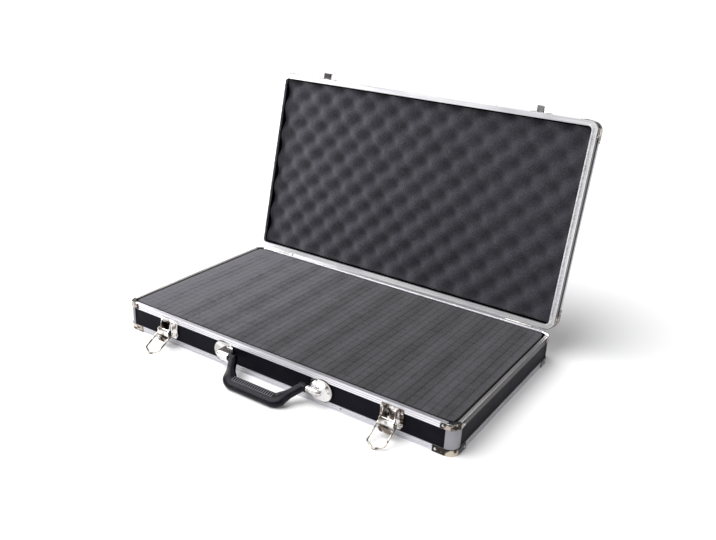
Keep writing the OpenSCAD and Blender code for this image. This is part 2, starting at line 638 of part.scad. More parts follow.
// The rings of one bend, from its middle, its radius and the directions before and after it.
function wire_bend(x, y, r, from, to, steps) = [for (k = [0:steps]) let (way = from + (to - from) * k / steps)
    wire_ring(x + r * sin(way), y - r * cos(way), way)];
module latch_bail(x) color("silver") translate([x, front_y - bail_pin_out, bail_pin_z])
    rotate([bail_rest_drop, 0, 0]) mirror([0, 1, 0]) {
        end_x = lever_in + 0.15;
        corner_x = bail_half_w - bail_corner_r;
        shoulder_x = bail_half_w - bail_bend_r;
        turn = gable_angle;
        swept(concat([wire_ring(end_x, 0, 0)],
            wire_bend(corner_x, bail_corner_r, bail_corner_r, 0, 90, 6),
            wire_bend(shoulder_x, shoulder_mid, bail_bend_r, 90, 180 - turn, 7),
            wire_bend(0, peak_mid, bail_bend_r, 180 - turn, 180 + turn, 7),
            wire_bend(-shoulder_x, shoulder_mid, bail_bend_r, 180 + turn, 270, 7),
            wire_bend(-corner_x, bail_corner_r, bail_corner_r, 270, 360, 6),
            [wire_ring(-end_x, 0, 360)]));
    }

// Handle mounts: a rounded plate with a barrel that takes the handle's pin.
pivot_z = base_h - pivot_drop;
mount_mid_z = pivot_z - 0.8;
mount_spots_at = [[9, 11.5], [mount_len - 6.5, 0], [9, -11.5]];
module mount_spots() for (s = [-1, 1], p = mount_spots_at)
    on_front(s * (mount_x + p[0]), mount_mid_z + p[1]) children();
module front_hardware_spots() {
    latch_spots() children();
    mount_spots() children();
}
barrel_len = 22;
module handle_mount(s) color("silver") difference() {
    union() {
        on_front(0, mount_mid_z) linear_extrude(mount_t) {
            translate([s * (mount_x + mount_len - mount_h / 2), 0]) circle(mount_h / 2);
            polygon([for (p = [[0, -12], [6, -mount_h / 2 + 1.5], [mount_len - mount_h / 2, -mount_h / 2],
                [mount_len - mount_h / 2, mount_h / 2], [6, mount_h / 2 - 1.5], [0, 12]])
                [s * (mount_x + p[0]), p[1]]]);
        }
        translate([s * mount_x, front_y - pivot_out, pivot_z]) rotate([0, 90 * s, 0]) {
            cylinder(r = barrel_r, h = barrel_len - 4);
            translate([0, 0, barrel_len - 4]) cylinder(r1 = barrel_r, r2 = barrel_r - 3, h = 6);
        }
        translate([s * (mount_x + barrel_len / 2), front_y - pivot_out / 2, pivot_z])
            cube([barrel_len, pivot_out, 2 * barrel_r - 1], center = true);
    }
    translate([s * (mount_x - 1), front_y - pivot_out, pivot_z]) rotate([0, 90 * s, 0])
        cylinder(r = handle_pin_r + running, h = barrel_len - 2);
    mount_spots() rivet_hole();
}
module handle_rivets() color("white") mount_spots() translate([0, 0, mount_t])
    rivet(mount_t + frame_t + panel_t);
arm_end = mount_x - 0.6;
pin_sunk = 11;
boss_len = 13;
module handle_pins() color("silver") for (s = [-1, 1])
    translate([s * (arm_end - pin_sunk), front_y - pivot_out, pivot_z]) rotate([0, 90 * s, 0])
        cylinder(r = handle_pin_r, h = pin_sunk + 0.6 + barrel_len - 4);

// Grip: an oval section swept along arms, bends and a straight bar, in the handle's own plane.
bend_r = 13;
arm_top_x = arm_end - arm_half_b - 1.4;
arm_turn = atan2(arm_top_x - grip_half_len, handle_drop);
bend_turn = 90 - arm_turn;
bend_back = bend_r * tan(bend_turn / 2);
arm_steps = 5;
bend_steps = 6;
function arm_point(t) = [arm_top_x - t * (arm_top_x - grip_half_len), t * handle_drop];
arm_share = 1 - bend_back / norm([arm_top_x - grip_half_len, handle_drop]);
bend_mid = [grip_half_len - bend_back, handle_drop - bend_r];
right_path = concat(
    [for (k = [0:arm_steps]) concat(arm_point(arm_share * k / arm_steps), [arm_turn])],
    [for (k = [1:bend_steps]) let (a = arm_turn + bend_turn * k / bend_steps)
        [bend_mid[0] + bend_r * cos(a), bend_mid[1] + bend_r * sin(a), a]]);
path = concat(right_path, [for (k = [len(right_path) - 1:-1:0])
    [-right_path[k][0], right_path[k][1], 180 - right_path[k][2]]]);

// The resting grip lies a small gap above the floor, found in three steps from a first guess.
function half_height(angle) = sqrt(pow(grip_half_b * sin(angle), 2) + pow(grip_half_t * cos(angle), 2));
function rest_step(angle) = asin((pivot_z - seat_gap - half_height(angle)) / handle_drop);
handle_rest_angle = rest_step(rest_step(rest_step(25)));
function ease(t) = t <= 0 ? 0 : t >= 1 ? 1 : t * t * (3 - 2 * t);
function widen(y) = ease((y - handle_drop * 0.45) / (handle_drop * 0.45));
function grip_ring(p) = let (w = widen(p[1]), b = arm_half_b + w * (grip_half_b - arm_half_b),
    t = grip_half_t - 1 + w)
    [for (k = [0:section_sides - 1]) let (a = 360 * k / section_sides)
        [p[0] + b * cos(a) * cos(p[2]), p[1] + b * cos(a) * sin(p[2]), t * sin(a)]];
module handle_grip() color([0.07, 0.08, 0.09])
    translate([0, front_y - pivot_out, pivot_z]) rotate([handle_rest_angle, 0, 0]) difference() {
        union() {
            mirror([0, 1, 0]) swept([for (p = path) grip_ring(p)]);
            for (s = [-1, 1]) translate([s * (arm_end - boss_len), 0, 0]) rotate([0, 90 * s, 0])
                cylinder(r = grip_half_t - 0.5, h = boss_len);
        }
        for (s = [-1, 1]) translate([s * (arm_end - pin_sunk), 0, 0]) rotate([0, 90 * s, 0])
            cylinder(r = handle_pin_r, h = pin_sunk + 1);
    }

base_rim(0);  // base_front_rim
base_rim(1);  // base_right_rim
base_rim(2);  // base_back_rim
base_rim(3);  // base_left_rim
base_rim_corners();
base_edging(0);  // base_front_edging
base_edging(1);  // base_right_edging
base_edging(2);  // base_back_edging
base_edging(3);  // base_left_edging
base_corner_posts();
base_panel(0);  // base_front_panel
base_panel(1);  // base_right_panel
base_panel(2);  // base_back_panel
base_panel(3);  // base_left_panel
base_bottom_panel();
base_rim_brackets();
base_foot_corners();
base_frame_rivets();
base_foam_pad();
base_foam();
lid_rim(0);  // lid_front_rim
lid_rim(1);  // lid_right_rim
lid_rim(2);  // lid_back_rim
lid_rim(3);  // lid_left_rim
lid_rim_corners();
lid_edging(0);  // lid_front_edging
lid_edging(1);  // lid_right_edging
lid_edging(2);  // lid_back_edging
lid_edging(3);  // lid_left_edging
lid_corner_posts();
lid_panel(0);  // lid_front_panel
lid_panel(1);  // lid_right_panel
lid_panel(2);  // lid_back_panel
lid_panel(3);  // lid_left_panel
lid_top_panel();
lid_rim_brackets();
lid_box_corners();
lid_frame_rivets();
lid_foam();
keeper(-latch_x);  // keeper_left
keeper(latch_x);  // keeper_right
keeper_rivets();
hinge_base_leaves();
hinge_lid_leaves();
hinge_pins();
hinge_base_rivets();
hinge_lid_rivets();
latch_plate(-latch_x);  // latch_plate_left
latch_plate(latch_x);  // latch_plate_right
latch_pins();
latch_rivets();
latch_lever(-latch_x);  // latch_lever_left
latch_lever(latch_x);  // latch_lever_right
latch_bail(-latch_x);  // latch_bail_left
latch_bail(latch_x);  // latch_bail_right
handle_mount(-1);  // handle_mount_left
handle_mount(1);  // handle_mount_right
handle_rivets();
handle_pins();
handle_grip();
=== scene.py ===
import json
import math

import bmesh
import bpy
from mathutils import Matrix, Vector


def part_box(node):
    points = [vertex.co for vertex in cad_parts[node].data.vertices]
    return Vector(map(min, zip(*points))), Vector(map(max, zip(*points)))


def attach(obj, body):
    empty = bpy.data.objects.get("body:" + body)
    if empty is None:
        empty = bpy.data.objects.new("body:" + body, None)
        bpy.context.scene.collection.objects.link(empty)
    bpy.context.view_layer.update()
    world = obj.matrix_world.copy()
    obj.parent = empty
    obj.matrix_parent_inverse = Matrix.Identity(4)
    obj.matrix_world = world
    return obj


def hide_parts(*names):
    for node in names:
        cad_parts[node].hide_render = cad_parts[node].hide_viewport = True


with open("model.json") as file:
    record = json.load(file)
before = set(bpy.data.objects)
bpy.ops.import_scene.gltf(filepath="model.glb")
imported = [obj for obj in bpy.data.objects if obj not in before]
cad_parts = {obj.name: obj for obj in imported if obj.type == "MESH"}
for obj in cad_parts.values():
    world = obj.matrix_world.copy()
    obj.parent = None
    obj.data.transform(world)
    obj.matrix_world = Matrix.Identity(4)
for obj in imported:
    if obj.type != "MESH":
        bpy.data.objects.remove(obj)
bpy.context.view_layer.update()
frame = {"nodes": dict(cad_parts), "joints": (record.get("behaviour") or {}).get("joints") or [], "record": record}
nodes = frame["nodes"]
joints = {joint["name"]: joint for joint in frame["joints"]}
bodyOf = {node: body for body, names in frame["record"]["behaviour"]["bodies"].items() for node in names}
slotOf = {part["node"]: part["material_slot"] for part in frame["record"]["subparts"]}
mm = 0.001
print("frame loaded:", len(nodes), "nodes")

# The lid is drawn open. These open a closed lid's shape, shut an open one's, and level the open lid
hingeAt = Vector(joints["lid_hinge"]["pos_m"])
lidAngle = math.radians(min(joints["lid_hinge"]["range_deg"]))
openLid = Matrix.Translation(hingeAt) @ Matrix.Rotation(lidAngle, 4, "X") @ Matrix.Translation(-hingeAt)
shutLid = openLid.inverted()
levelLid = Matrix.Rotation(-lidAngle, 3, "X")
handleAt = Vector(joints["handle_pivot"]["pos_m"])


# Shader maths as plain expressions
class Link:
    def __init__(self, tree, socket):
        self.tree, self.socket = tree, socket

    def join(self, operation, first, second=0.0):
        node = self.tree.nodes.new("ShaderNodeMath")
        node.operation = operation
        for place, value in enumerate((first, second)):
            connect(self.tree, node.inputs[place], value)
        return Link(self.tree, node.outputs[0])

    def __add__(self, other): return self.join("ADD", self, other)
    def __radd__(self, other): return self.join("ADD", other, self)
    def __sub__(self, other): return self.join("SUBTRACT", self, other)
    def __rsub__(self, other): return self.join("SUBTRACT", other, self)
    def __mul__(self, other): return self.join("MULTIPLY", self, other)
    def __pow__(self, other): return self.join("POWER", self, other)
    def __gt__(self, other): return self.join("GREATER_THAN", self, other)
    def __lt__(self, other): return self.join("LESS_THAN", self, other)
    def least(self, other): return self.join("MINIMUM", self, other)
    def sine(self): return self.join("SINE", self)


def connect(tree, socket, value):
    if isinstance(value, Link):
        tree.links.new(value.socket, socket)
    else:
        socket.default_value = value


class Finish:
    def __init__(self, name, **constants):
        self.material = bpy.data.materials.new(name)
        self.material.use_nodes = True
        self.tree = self.material.node_tree
        self.shader = self.tree.nodes["Principled BSDF"]
        for socket, value in constants.items():
            self.shader.inputs[socket.replace("_", " ")].default_value = value

    def make(self, kind, settings=None, output=0, **inputs):
        node = self.tree.nodes.new("ShaderNode" + kind)
        for key, value in (settings or {}).items():
            setattr(node, key, value)
        for key, value in inputs.items():
            connect(self.tree, node.inputs[key.replace("_", " ")], value)
        return Link(self.tree, node.outputs[output])

    def place(self, turn=0.0, scale=(1, 1, 1)):
        spot = self.make("TexCoord", output="Object")
        return self.make("Mapping", Vector=spot, Rotation=(turn, 0, 0), Scale=scale)

    def noise(self, where, scale, detail=3.0, roughness=0.55):
        return self.make("TexNoise", Vector=where, Scale=scale, Detail=detail, Roughness=roughness)

    def axes(self, where):
        parts = self.make("SeparateXYZ", Vector=where)
        return [Link(self.tree, parts.socket.node.outputs[axis]) for axis in "XYZ"]

    def millimetres(self, where):
        return [axis * 1000 for axis in self.axes(where)]

    def ramp(self, value, low, high):
        return self.make("MapRange", {"interpolation_type": "SMOOTHSTEP"},
                         Value=value, From_Min=low, From_Max=high)

    def blend(self, share, first, second):
        node = self.tree.nodes.new("ShaderNodeMix")
        node.data_type = "RGBA"
        connect(self.tree, node.inputs["Factor"], share)
        for name, value in (("A", first), ("B", second)):
            socket = [s for s in node.inputs if s.name == name and s.type == "RGBA"][0]
            connect(self.tree, socket, value if isinstance(value, Link) else (*value, 1.0))
        return Link(self.tree, [s for s in node.outputs if s.type == "RGBA"][0])

    def feed(self, **inputs):
        for key, value in inputs.items():
            connect(self.tree, self.shader.inputs[key.replace("_", " ")], value)

    def bump(self, height, distance, strength):
        self.feed(Normal=self.make("Bump", Height=height, Distance=distance, Strength=strength))


def stripes(along, pitch, start=0.0):
    # A wave that peaks at the start and at every pitch from there
    return ((along - start) * (2 * math.pi / pitch) + math.pi / 2).sine()


# Extruded and anodised aluminium, with die lines along the section. Painted shade darkens its grooves, outer
# faces and edging band, a painted highlight runs along the outer edge, and the base's side runs take a darker
# shaded copy of the tones and the lid a lighter lit copy. Heights and depths from the case's outer sides are in
# millimetres, and noises are scale, detail, roughness
sectionLook = {
    "metallic": 0.92, "roughness": 0.29, "lineRough": 0.10, "patchRough": 0.08,
    "light": (0.77, 0.76, 0.80), "dark": (0.60, 0.60, 0.65),
    "sideLight": (0.70, 0.68, 0.68), "sideDark": (0.34, 0.32, 0.32), "lidLight": (0.96, 0.95, 0.96),
    "shine": (0.97, 0.97, 0.98), "shineDepth": (1.9, 0.5),
    "outerSide": (0.045, 0.038, 0.038), "outerDepth": (0.5, 0.2),
    "edging": (0.60, 0.60, 0.64), "edgingTop": 10.0, "lidEdging": 63.0,
    "grooves": (2.9, 6.9, 40.9, 43.8), "lidGrooves": (50.5, 53.3, 65.8, 68.7),
    "grooveHalf": 0.62, "grooveCore": 0.3, "grooveShade": (0.36, 0.35, 0.36),
    "along": 3.0, "across": 420.0, "lineNoise": (1.0, 3.0, 0.5), "patchNoise": (14.0, 2.0),
    "lineShare": 0.7, "tones": (0.30, 0.62), "depth": 0.000012, "bump": 0.4}
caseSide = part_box("base_right_rim")[1].x / mm
lidShift = (levelLid @ hingeAt - hingeAt).z / mm  # from the levelled open lid to the closed one


def sectionFinish(name, runs, onLid=False):
    look = sectionLook
    turn = -lidAngle if onLid else 0.0
    # The base's side runs take a darker copy of the tones as painted shade, the lid's sections a lighter copy as
    # painted light
    side = runs == "Y" and not onLid
    dark = look["sideDark"] if side else look["dark"]
    light = look["lidLight"] if onLid else look["sideLight"] if side else look["light"]
    done = Finish(name, Metallic=look["metallic"])
    scale = [look["along"] if axis == runs else look["across"] for axis in "XYZ"]
    lines = done.noise(done.place(turn, scale), *look["lineNoise"])
    where = done.place(turn)
    patches = done.noise(where, *look["patchNoise"])
    mixed = lines * look["lineShare"] + patches * (1 - look["lineShare"])
    metal = done.blend(done.ramp(mixed, *look["tones"]), dark, light)
    x, _, height = done.millimetres(where)
    if onLid:
        height = height - lidShift
    reach = (x * x) ** 0.5
    # A painted highlight line along the top of the case's outer edge
    near, far = (caseSide - depth for depth in look["shineDepth"])
    metal = done.blend((reach > near) * (reach < far), metal, look["shine"])
    # Painted shade on the outer faces
    shadedOutside = done.ramp(reach, *(caseSide - depth for depth in look["outerDepth"]))
    metal = done.blend(shadedOutside, metal, look["outerSide"])
    # Painted shade on the edging band
    onShadedEdging = height > look["lidEdging"] if onLid else height < look["edgingTop"]
    metal = done.blend(onShadedEdging, metal, look["edging"])
    # Painted shade in the grooves
    shade, widest = 0.0, look["grooveHalf"] ** 2
    for groove in look["lidGrooves" if onLid else "grooves"]:
        away = height - groove
        shade = shade + (1 - done.ramp(away * away, look["grooveCore"] * widest, widest))
    done.feed(Base_Color=done.blend(shade.least(1.0), metal, look["grooveShade"]))
    done.feed(Roughness=look["roughness"] + lines * look["lineRough"] + patches * look["patchRough"])
    done.bump(lines, look["depth"], look["bump"])
    return done.material


# The handle mounts' plates, in millimetres: painted shade along the outline, where the sheet is rolled back
mountLook = {"middle": 92.75, "height": 23.7, "radius": 17.25, "roll": (1.3, 0.52)}


# Painted shade along the mount plate's outline
def rolledEdgeShade(done, where):
    x, _, z = done.millimetres(where)
    side = (x * x) ** 0.5 - mountLook["middle"]
    side = side * (side > 0)
    reach = (side * side + (z - mountLook["height"]) ** 2.0) ** 0.5
    return done.ramp(reach, *(mountLook["radius"] - inwards for inwards in mountLook["roll"]))


# Plated steel: bright, with darker patches painted in as reflections of a dark room, and rougher where it is worn
platedUsual = {
    "patch": 38.0, "patchNoise": (2.0, 0.5), "middle": 0.49, "edge": 0.17,
    "shade": None, "shadeTone": (0.05, 0.045, 0.04), "fineNoise": (900.0, 3.0, 0.6),
    "roughTones": (0.45, 0.75), "patchRough": 0.07, "fineRough": 0.04,
    "patchRelief": 0.8, "fineRelief": 0.2, "depth": 0.00004, "bump": 0.4}
platedLooks = {
    "upright": {"name": "uprightPost", "light": (0.28, 0.28, 0.30), "dark": (0.15, 0.15, 0.17),
                "roughness": 0.24, "patch": 12.0},
    "rimCorner": {"name": "rimCorner", "light": (0.86, 0.85, 0.85), "dark": (0.40, 0.37, 0.36),
                  "roughness": 0.06, "patch": 60.0, "edge": 0.09},
    "corner": {"name": "platedCorner", "light": (0.56, 0.49, 0.41), "dark": (0.04, 0.034, 0.03),
               "roughness": 0.08, "patch": 60.0, "edge": 0.06, "middle": 0.54},
    "bracket": {"name": "rimBracket", "light": (0.42, 0.36, 0.32), "dark": (0.03, 0.025, 0.022),
                "roughness": 0.08, "patch": 95.0, "edge": 0.06, "middle": 0.52},
    "plated": {"name": "platedSteel", "light": (0.78, 0.77, 0.77), "dark": (0.36, 0.34, 0.33),
               "roughness": 0.06, "patch": 75.0, "edge": 0.10},
    "mount": {"name": "mountPlate", "light": (0.82, 0.81, 0.81), "dark": (0.46, 0.44, 0.43),
              "roughness": 0.05, "patch": 75.0, "edge": 0.10, "shade": rolledEdgeShade},
    "latch": {"name": "latchSteel", "light": (0.80, 0.78, 0.77), "dark": (0.16, 0.13, 0.11),
              "roughness": 0.06, "patch": 60.0, "edge": 0.08},
    "wire": {"name": "platedWire", "light": (0.46, 0.43, 0.38), "dark": (0.06, 0.052, 0.045),
             "roughness": 0.10, "patch": 90.0, "edge": 0.09},
    "rivet": {"name": "rivetHead", "light": (0.74, 0.74, 0.74), "dark": (0.34, 0.33, 0.32),
              "roughness": 0.12, "patch": 200.0},
    "hinge": {"name": "hingeLeaf", "light": (0.46, 0.45, 0.44), "dark": (0.22, 0.21, 0.20),
              "roughness": 0.22}}


def platedFinish(look):
    done = Finish(look["name"], Metallic=1.0)
    where = done.place()
    patches = done.noise(where, look["patch"], *look["patchNoise"])
    fine = done.noise(where, *look["fineNoise"])
    # Dark and light patches in the colour are painted reflections
    tones = done.ramp(patches, look["middle"] - look["edge"], look["middle"] + look["edge"])
    metal = done.blend(tones, look["dark"], look["light"])
    if look["shade"]:
        metal = done.blend(look["shade"](done, where), metal, look["shadeTone"])
    done.feed(Base_Color=metal)
    worn = done.ramp(patches, *look["roughTones"])
    done.feed(Roughness=look["roughness"] + worn * look["patchRough"] + fine * look["fineRough"])
    done.bump(patches * look["patchRelief"] + fine * look["fineRelief"], look["depth"], look["bump"])
    return done.material


# Black foil on board, with a fine pebble grain and a little dust
panelLook = {
    "index": 1.12, "dark": (0.004, 0.004, 0.007), "light": (0.013, 0.013, 0.019),
    "grain": {"Scale": 1150.0, "Smoothness": 0.7}, "fineNoise": (2200.0, 3.0), "fineShare": 0.2,
    "dustNoise": (30.0, 5.0, 0.7), "dustTones": (0.45, 0.85), "dustShare": 0.6,
    "roughness": 0.44, "dustRough": 0.14, "grainRough": 0.08,
    "grainRelief": 0.8, "fineRelief": 0.2, "depth": 0.00007, "bump": 0.6}


def panelFinish():
    look = panelLook
    done = Finish("blackFoil", IOR=look["index"])
    where = done.place()
    grain = done.make("TexVoronoi", {"feature": "SMOOTH_F1"}, Vector=where, **look["grain"])
    fine = done.noise(where, *look["fineNoise"])
    dust = done.ramp(done.noise(where, *look["dustNoise"]), *look["dustTones"])
    tone = dust * look["dustShare"] + fine * look["fineShare"]
    done.feed(Base_Color=done.blend(tone, look["dark"], look["light"]))
    done.feed(Roughness=look["roughness"] + dust * look["dustRough"] - grain * look["grainRough"])
    done.bump(grain * look["grainRelief"] + fine * look["fineRelief"], look["depth"], look["bump"])
    return done.material


# Open-cell foam: speckled cells, darker in the pores, with painted shade by depth and a painted light gradient
# that makes it lighter towards one side. The base's has painted shade in rows along its slits too, and broad
# bands across them, as the photograph shows
squareSize = 12.3 * mm
foamLow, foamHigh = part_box("base_foam")
foamColumns = round((foamHigh.x - foamLow.x) / squareSize)
crateLow = min((levelLid @ vert.co).z for vert in nodes["lid_foam"].data.vertices)
foamUsual = {
    "surface": {"Roughness": 0.95, "Specular_IOR_Level": 0.2, "Sheen_Weight": 0.12,
                "Sheen_Roughness": 0.5},
    "poresToCells": 2.3, "poreNoise": (4.0, 0.7), "poreShare": 0.6, "cellShare": 0.4,
    "poreTones": (0.25, 0.70), "poreTone": 0.4, "patchNoise": (26.0, 4.0, 0.7), "patchTone": 0.5,
    "sink": 0.04, "grainNoise": (90.0, 5.0, 0.8), "poreRelief": 0.5, "cellRelief": 0.5, "bump": 0.8}
baseFoamLook = {
    "name": "scoredFoam", "turn": 0.0, "dark": (0.008, 0.008, 0.009), "light": (0.092, 0.090, 0.102),
    "cells": 620.0, "depth": 0.0008, "grain": 0.0, "fade": 2.37, "fadeBend": 7.6,
    "floorAt": foamHigh.z - 2.5 * mm, "topAt": foamHigh.z - 0.4 * mm, "floorTone": 0.0,
    "row": 0.10, "rowTones": (0.2, 1.0), "rowStart": foamLow.x,
    "rowPitch": (foamHigh.x - foamLow.x) / foamColumns,
    "band": 0.13, "bandPitch": 57.8 * mm, "slant": 6.0, "waver": 1.6, "waverNoise": (9.0, 2.0),
    "mottle": 0.5, "mottleNoise": (70.0, 5.0, 0.75), "mottleSink": 0.3}
lidFoamLook = {
    "name": "crateFoam", "turn": -lidAngle, "dark": (0.006, 0.006, 0.008), "light": (0.080, 0.079, 0.096),
    "cells": 520.0, "depth": 0.0013, "grain": 0.30, "fade": 0.3, "fadeBend": 0.0,
    "floorAt": crateLow + 11.5 * mm, "topAt": crateLow + 1.0 * mm, "floorTone": 0.5}


def foamFinish(look):
    done = Finish(look["name"], **look["surface"])
    where = done.place(look["turn"])
    x, y, z = done.axes(where)
    cells = done.make("TexVoronoi", {"feature": "F1"}, Vector=where, Scale=look["cells"])
    pores = done.noise(where, look["cells"] * look["poresToCells"], *look["poreNoise"])
    patches = done.noise(where, *look["patchNoise"])
    speckle = done.ramp(pores * look["poreShare"] + cells * look["cellShare"], *look["poreTones"])
    tone = speckle * look["poreTone"] + patches * look["patchTone"] - look["sink"]
    if "band" in look:
        # Painted shade in rows along the slits
        slitShading = stripes(x, look["rowPitch"], look["rowStart"])
        tone = tone - done.ramp(slitShading, *look["rowTones"]) * look["row"]
        waver = done.noise(where, *look["waverNoise"]) * look["waver"]
        bands = (x * (2 * math.pi / look["bandPitch"]) + y * look["slant"] + waver).sine()
        mottle = done.noise(where, *look["mottleNoise"]) * look["mottle"]
        tone = tone + bands * look["band"] + mottle - look["mottle"] * look["mottleSink"]
    tone = tone + (done.noise(where, *look["grainNoise"]) - 0.5) * look["grain"]
    # Painted shade, darkest at the bottom of the slits and hollows
    depth = done.ramp(z, look["floorAt"], look["topAt"])
    tone = tone * (look["floorTone"] + depth * (1 - look["floorTone"]))
    # A painted light gradient, lighter towards one side
    tone = tone * (1 - x * look["fade"] + x * x * look["fadeBend"])
    done.feed(Base_Color=done.blend(tone.least(1.0), look["dark"], look["light"]))
    done.bump(cells * look["cellRelief"] + pores * look["poreRelief"], look["depth"], look["bump"])
    return done.material


# Moulded grip: satin, with painted highlights on the ribs of its comb and the line round it, and painted shade
# between the ribs
gripFall = math.radians(26.79)  # drop of the resting handle
gripLook = {
    "specular": 0.13, "dark": (0.004, 0.004, 0.007), "light": (0.011, 0.011, 0.016),
    "gap": (0.001, 0.001, 0.002), "rib": (0.16, 0.16, 0.18), "ribTones": (0.2, 0.8), "line": 0.9,
    "grainNoise": (1500.0, 3.0, 0.6), "rubNoise": (45.0, 4.0, 0.6), "rubTones": (0.40, 0.75),
    "roughness": 0.20, "rubRough": 0.10, "combRough": 0.4, "grainRough": 0.06,
    "depth": 0.00008, "bump": 0.5}
# The comb's pocket in millimetres: from and to are distances from the pivots
combAt = {"from": 26.2, "to": 35.6, "half": 36.0, "pitch": 4.0}


def gripFinish():
    look = gripLook
    done = Finish("mouldedGrip", Specular_IOR_Level=look["specular"])
    where = done.place(-gripFall)
    grain = done.noise(where, *look["grainNoise"])
    rub = done.ramp(done.noise(where, *look["rubNoise"]), *look["rubTones"])
    body = done.blend(rub, look["dark"], look["light"])
    pivot = Matrix.Rotation(-gripFall, 3, "X") @ handleAt
    x, y, z = done.millimetres(where)
    down = pivot.y / mm - y
    top = z > pivot.z / mm

    def pocket(more):
        wide = x * x < (combAt["half"] + more) ** 2
        return (down > combAt["from"] - more) * (down < combAt["to"] + more) * wide * top
    # Painted highlights on the comb's ribs and the line round the pocket, painted shade between the ribs
    inside, highlightOutline = pocket(-look["line"] / 2), pocket(look["line"] / 2)
    ribHighlights = done.ramp(stripes(x, combAt["pitch"]), *look["ribTones"])
    highlightedRibs = done.blend(ribHighlights, look["gap"], look["rib"])
    done.feed(Base_Color=done.blend(inside, done.blend(highlightOutline, body, look["rib"]), highlightedRibs))
    rough = rub * look["rubRough"] + inside * look["combRough"] + grain * look["grainRough"]
    done.feed(Roughness=look["roughness"] + rough)
    done.bump(grain, look["depth"], look["bump"])
    return done.material


finishes = {
    "baseAlongX": sectionFinish("sectionAlongX", "X"),
    "baseAlongY": sectionFinish("sectionAlongY", "Y"),
    "lidAlongX": sectionFinish("lidSectionAlongX", "X", onLid=True),
    "lidAlongY": sectionFinish("lidSectionAlongY", "Y", onLid=True),
    **{key: platedFinish({**platedUsual, **look}) for key, look in platedLooks.items()},
    "panel": panelFinish(),
    "baseFoam": foamFinish({**foamUsual, **baseFoamLook}),
    "lidFoam": foamFinish({**foamUsual, **lidFoamLook}),
    "grip": gripFinish(),
}
print("finishes made:", len(finishes))

# The first of these words in a node's name gives its finish. Sections take theirs by their run
finishWords = {
    "panel": "panel", "posts": "upright", "brackets": "bracket", "foot_corners": "corner",
    "box_corners": "corner", "lid_rim_corners": "lidAlongX", "rim_corners": "rimCorner",
    "rim": "section", "edging": "section", "hinge": "hinge", "mount": "mount", "bail": "wire",
    "latch": "latch"}


def finishOf(node):
    finish = next((finish for word, finish in finishWords.items() if word in node), "plated")
    if finish != "section":
        return finish
    run = "AlongX" if "front" in node or "back" in node else "AlongY"
    return ("lid" if node.startswith("lid") else "base") + run


def finished(shape, node, finish, name=None, smooth=True):
    # Makes a piece that rides on its node's body and stands in for it
    words = "".join(word.capitalize() for word in node.split("_"))
    name = name or words[0].lower() + words[1:]
    mesh = bpy.data.meshes.new(name)
    for face in shape.faces:
        face.smooth = smooth
    shape.to_mesh(mesh)
    shape.free()
    piece = bpy.data.objects.new(name, mesh)
    bpy.context.scene.collection.objects.link(piece)
    mesh.materials.append(finishes[finish])
    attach(piece, bodyOf[node])
    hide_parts(node)
    return piece


def evenShading(piece):
    piece.modifiers.new("flats", "WEIGHTED_NORMAL").keep_sharp = True


# Hard pieces: a copy of the node's shape with loose triangles joined and edges rounded by its slot
edgeLook = {"frame": 0.25 * mm, "post": 0.25 * mm, "corner_plate": 0.3 * mm, "plated": 0.3 * mm,
            "panel": 0.2 * mm, "mount": 0.55 * mm, "segments": 2, "bluntest": math.radians(32)}
weld = 0.002 * mm
flatWithin = math.radians(1.0)


def welded(node):
    shape = bmesh.new()
    shape.from_mesh(nodes[node].data)
    bmesh.ops.remove_doubles(shape, verts=shape.verts, dist=weld)
    return shape


def roundedPiece(node):
    shape = welded(node)
    bmesh.ops.dissolve_degenerate(shape, edges=shape.edges, dist=weld)
    bmesh.ops.dissolve_limit(shape, angle_limit=flatWithin, verts=shape.verts, edges=shape.edges)
    piece = finished(shape, node, finishOf(node))
    bevel = piece.modifiers.new("edges", "BEVEL")
    bevel.width = edgeLook["mount" if "mount" in node else slotOf[node]]
    bevel.segments = edgeLook["segments"]
    bevel.limit_method, bevel.angle_limit = "ANGLE", edgeLook["bluntest"]
    bevel.miter_outer = "MITER_ARC"
    evenShading(piece)


ownShape = ("handle_grip", "base_foam_pad", "base_foam", "lid_foam")
for node in sorted(nodes):
    if node not in ownShape and "rivets" not in node:
        roundedPiece(node)
print("hard pieces rounded")


# Rivets: every headed stud gets a domed head on its own shank. Rise is a share of the CAD head's
# height, shank and seat of its radius, and end of its half length
rivetLook = {"rise": 0.95, "segments": 20, "rings": 6, "shank": 0.55, "seat": 0.98, "end": 0.3,
             "weld": 0.001 * mm}


def islands(shape):
    left, groups = set(shape.verts), []
    while left:
        found, fresh = [], [left.pop()]
        while fresh:
            vert = fresh.pop()
            found.append(vert)
            for link in vert.link_edges:
                other = link.other_vert(vert)
                if other in left:
                    left.remove(other)
                    fresh.append(other)
        groups.append([vert.co.copy() for vert in found])
    return groups


def offAxis(point, centre, axis):
    return ((point - centre) - axis * (point - centre).dot(axis)).length


def rivetAxis(points, centre, node):
    # The shank's long way, towards the head
    options = [Vector((1, 0, 0)), Vector((0, 1, 0)), Vector((0, 0, 1))]
    if bodyOf[node] == "lid":
        options = [openLid.to_3x3() @ option for option in options]
    axis = min(options, key=lambda option: max(offAxis(point, centre, option) for point in points))
    along = [(point - centre).dot(axis) for point in points]
    endFrom = rivetLook["end"] * max(abs(value) for value in along)

    def girth(sign):
        return max((offAxis(point, centre, axis) for point, value in zip(points, along)
                    if value * sign > endFrom), default=0)
    return axis if girth(1) > girth(-1) else -axis


def untagged(shape):
    return [vert for vert in shape.verts if not vert.tag]


